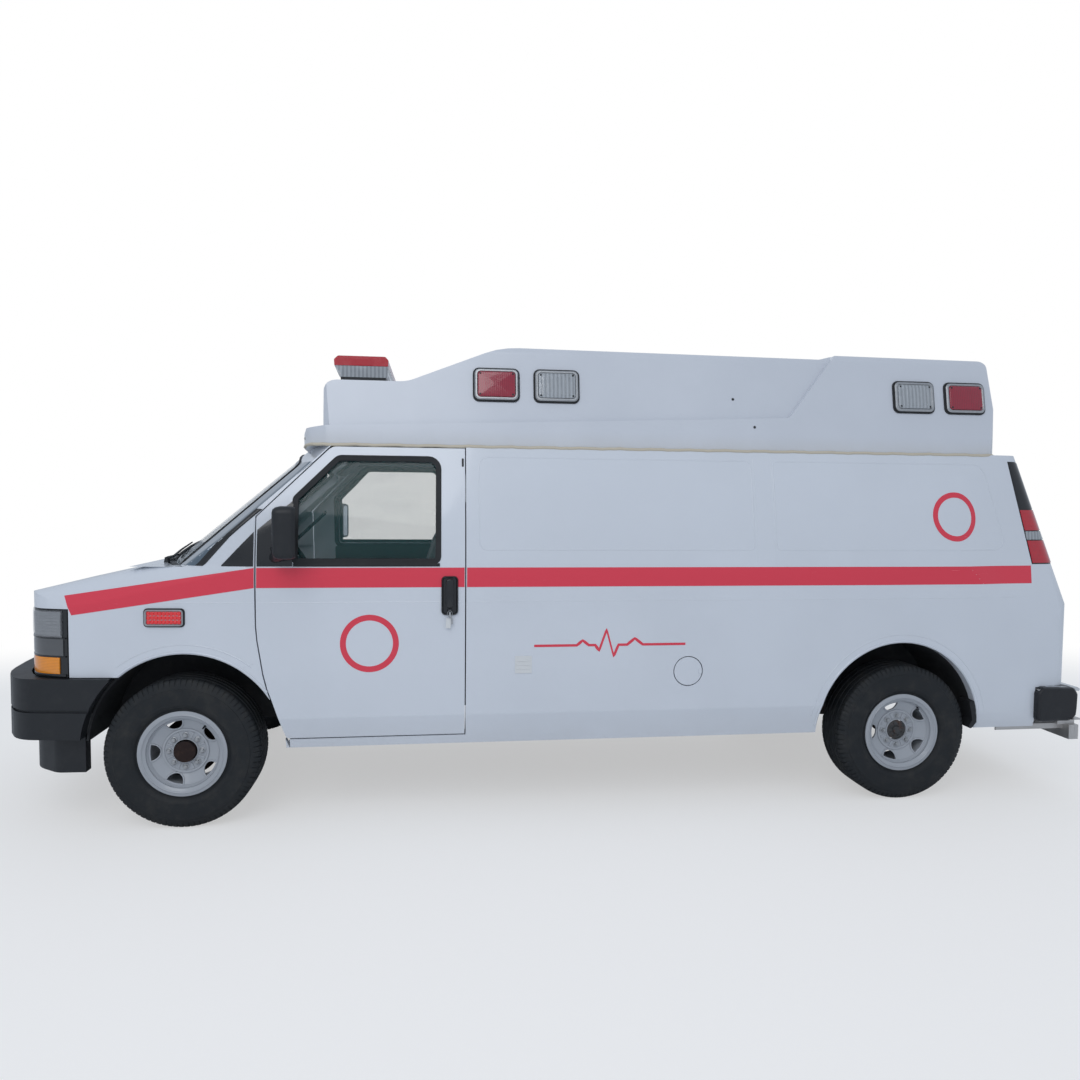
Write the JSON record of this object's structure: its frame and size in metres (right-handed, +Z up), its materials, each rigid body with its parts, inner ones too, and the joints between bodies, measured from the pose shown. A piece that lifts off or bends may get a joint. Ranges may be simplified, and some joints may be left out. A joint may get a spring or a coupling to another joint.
{
  "type": "high-roof van ambulance",
  "caption": "Long-wheelbase high-roof van ambulance with hinged doors, hood and fuel flap, steered and rolling wheels, roof light bar and red waist stripe.",
  "frame": {"origin": "bottom centre of the bounding box, on the ground under the middle of the van", "axes": "+X towards the rear, +Y towards the passenger's side (right), +Z up"},
  "size_m": [6.06, 2.3976, 2.549],
  "materials": {
    "white_paint": "gloss",
    "roof_gelcoat": "gloss",
    "underbody": "matte",
    "clear_glass": "gloss",
    "tinted_glass": "gloss",
    "privacy_glass": "gloss",
    "black_plastic": "matte",
    "grille_plastic": "satin",
    "headlamp_lens": "gloss",
    "tail_lens": "gloss",
    "bright_metal": "polished",
    "dash_plastic": "matte",
    "seat_vinyl": "satin",
    "partition_board": "satin",
    "cabinet_board": "satin",
    "engine_block": "matte",
    "chassis_black": "satin",
    "axle_black": "satin",
    "exhaust_steel": "dull",
    "tank_plastic": "matte",
    "beacon_lens": "gloss",
    "warning_lens": "gloss",
    "wheel_grip": "satin",
    "hub_iron": "rusted",
    "tyre": "matte",
    "rim_steel": "satin",
    "red_film": "gloss",
    "black_trim": "satin",
    "rubber_seal": "matte",
    "chrome_trim": "polished",
    "amber_lens": "gloss",
    "clear_lens": "gloss",
    "red_lens": "gloss",
    "smoked_reflector": "gloss",
    "plated_steel": "satin",
    "plate_white": "satin",
    "mirror_glass": "gloss",
    "sealant": "satin",
    "bench_vinyl": "satin",
    "pocket_dark": "matte"
  },
  "bodies": {
    "van": {"floor": "underbody", "left_side_wall": "white_paint", "right_side_wall": "white_paint", "high_roof": "roof_gelcoat", "front_fenders": "white_paint", "cab_frame": "white_paint", "windshield": "clear_glass", "front_bumper": "black_plastic", "grille": "grille_plastic", "headlights": "headlamp_lens", "rear_frame": "white_paint", "tail_lamps": "tail_lens", "rear_step": "bright_metal", "dashboard": "dash_plastic", "cab_seats": "seat_vinyl", "bulkhead": "partition_board", "squad_bench": "cabinet_board", "engine": "engine_block", "chassis_rails": "chassis_black", "crossmembers": "chassis_black", "front_suspension": "chassis_black", "rear_axle": "axle_black", "exhaust": "exhaust_steel", "fuel_tank": "tank_plastic", "light_bar": "beacon_lens", "warning_lights": "warning_lens"},
    "steering_wheel": {"steering_wheel": "wheel_grip"},
    "left_knuckle": {"left_knuckle": "hub_iron"},
    "right_knuckle": {"right_knuckle": "hub_iron"},
    "front_left_wheel": {"front_left_tyre": "tyre", "front_left_rim": "rim_steel"},
    "front_right_wheel": {"front_right_tyre": "tyre", "front_right_rim": "rim_steel"},
    "rear_left_wheel": {"rear_left_tyre": "tyre", "rear_left_rim": "rim_steel"},
    "rear_right_wheel": {"rear_right_tyre": "tyre", "rear_right_rim": "rim_steel"},
    "front_left_door": {"front_left_door": "white_paint", "front_left_window": "tinted_glass", "left_mirror": "black_plastic"},
    "front_right_door": {"front_right_door": "white_paint", "front_right_window": "tinted_glass", "right_mirror": "black_plastic"},
    "side_door_front": {"side_door_front": "white_paint"},
    "side_door_rear": {"side_door_rear": "white_paint"},
    "rear_left_door": {"rear_left_door": "white_paint", "rear_left_window": "privacy_glass"},
    "rear_right_door": {"rear_right_door": "white_paint", "rear_right_window": "privacy_glass"},
    "hood": {"hood": "white_paint"},
    "fuel_door": {"fuel_door": "white_paint"}
  },
  "joints": [
    {"name": "steer_left", "type": "hinge", "parent": "van", "child": "left_knuckle", "pos_m": [-2.03, -0.752, 0.387], "axis": [0, 0, 1], "range_deg": [-32, 32]},
    {"name": "steer_right", "type": "hinge", "parent": "van", "child": "right_knuckle", "pos_m": [-2.03, 0.752, 0.387], "axis": [0, 0, 1], "range_deg": [-32, 32]},
    {"name": "steering_wheel_turn", "type": "hinge", "parent": "van", "child": "steering_wheel", "pos_m": [-1.5, -0.43, 1.27], "axis": [0.8829, 0, 0.4695], "range_deg": [-512, 512]},
    {"name": "front_left_wheel_spin", "type": "hinge", "parent": "left_knuckle", "child": "front_left_wheel", "pos_m": [-2.03, -0.867, 0.387], "axis": [0, -1, 0], "continuous": true},
    {"name": "rear_left_wheel_spin", "type": "hinge", "parent": "van", "child": "rear_left_wheel", "pos_m": [1.907, -0.863, 0.387], "axis": [0, -1, 0], "continuous": true},
    {"name": "front_left_door_swing", "type": "hinge", "parent": "van", "child": "front_left_door", "pos_m": [-1.659, -1.01, 0.9], "axis": [0, 0, -1], "range_deg": [0, 70]},
    {"name": "rear_left_door_swing", "type": "hinge", "parent": "van", "child": "rear_left_door", "pos_m": [2.992, -0.803, 1], "axis": [0, 0, -1], "range_deg": [0, 165]},
    {"name": "front_right_wheel_spin", "type": "hinge", "parent": "right_knuckle", "child": "front_right_wheel", "pos_m": [-2.03, 0.867, 0.387], "axis": [0, -1, 0], "continuous": true},
    {"name": "rear_right_wheel_spin", "type": "hinge", "parent": "van", "child": "rear_right_wheel", "pos_m": [1.907, 0.863, 0.387], "axis": [0, -1, 0], "continuous": true},
    {"name": "front_right_door_swing", "type": "hinge", "parent": "van", "child": "front_right_door", "pos_m": [-1.659, 1.01, 0.9], "axis": [0, 0, 1], "range_deg": [0, 70]},
    {"name": "rear_right_door_swing", "type": "hinge", "parent": "van", "child": "rear_right_door", "pos_m": [2.992, 0.803, 1], "axis": [0, 0, 1], "range_deg": [0, 165]},
    {"name": "side_door_front_swing", "type": "hinge", "parent": "van", "child": "side_door_front", "pos_m": [-0.473, 1.01, 1], "axis": [0, 0, 1], "range_deg": [0, 90]},
    {"name": "side_door_rear_swing", "type": "hinge", "parent": "van", "child": "side_door_rear", "pos_m": [0.733, 1.01, 1], "axis": [0, 0, -1], "range_deg": [0, 90]},
    {"name": "hood_lift", "type": "hinge", "parent": "van", "child": "hood", "pos_m": [-2.127, 0, 1.35], "axis": [0, 1, 0], "range_deg": [0, 55]},
    {"name": "fuel_door_swing", "type": "hinge", "parent": "van", "child": "fuel_door", "pos_m": [0.541, -1.009, 0.774], "axis": [0, 0, -1], "range_deg": [0, 110]}
  ],
  "couplings": [
    {"joint": "steer_right", "follows": "steer_left", "ratio": 1},
    {"joint": "steering_wheel_turn", "follows": "steer_left", "ratio": 16}
  ]
}
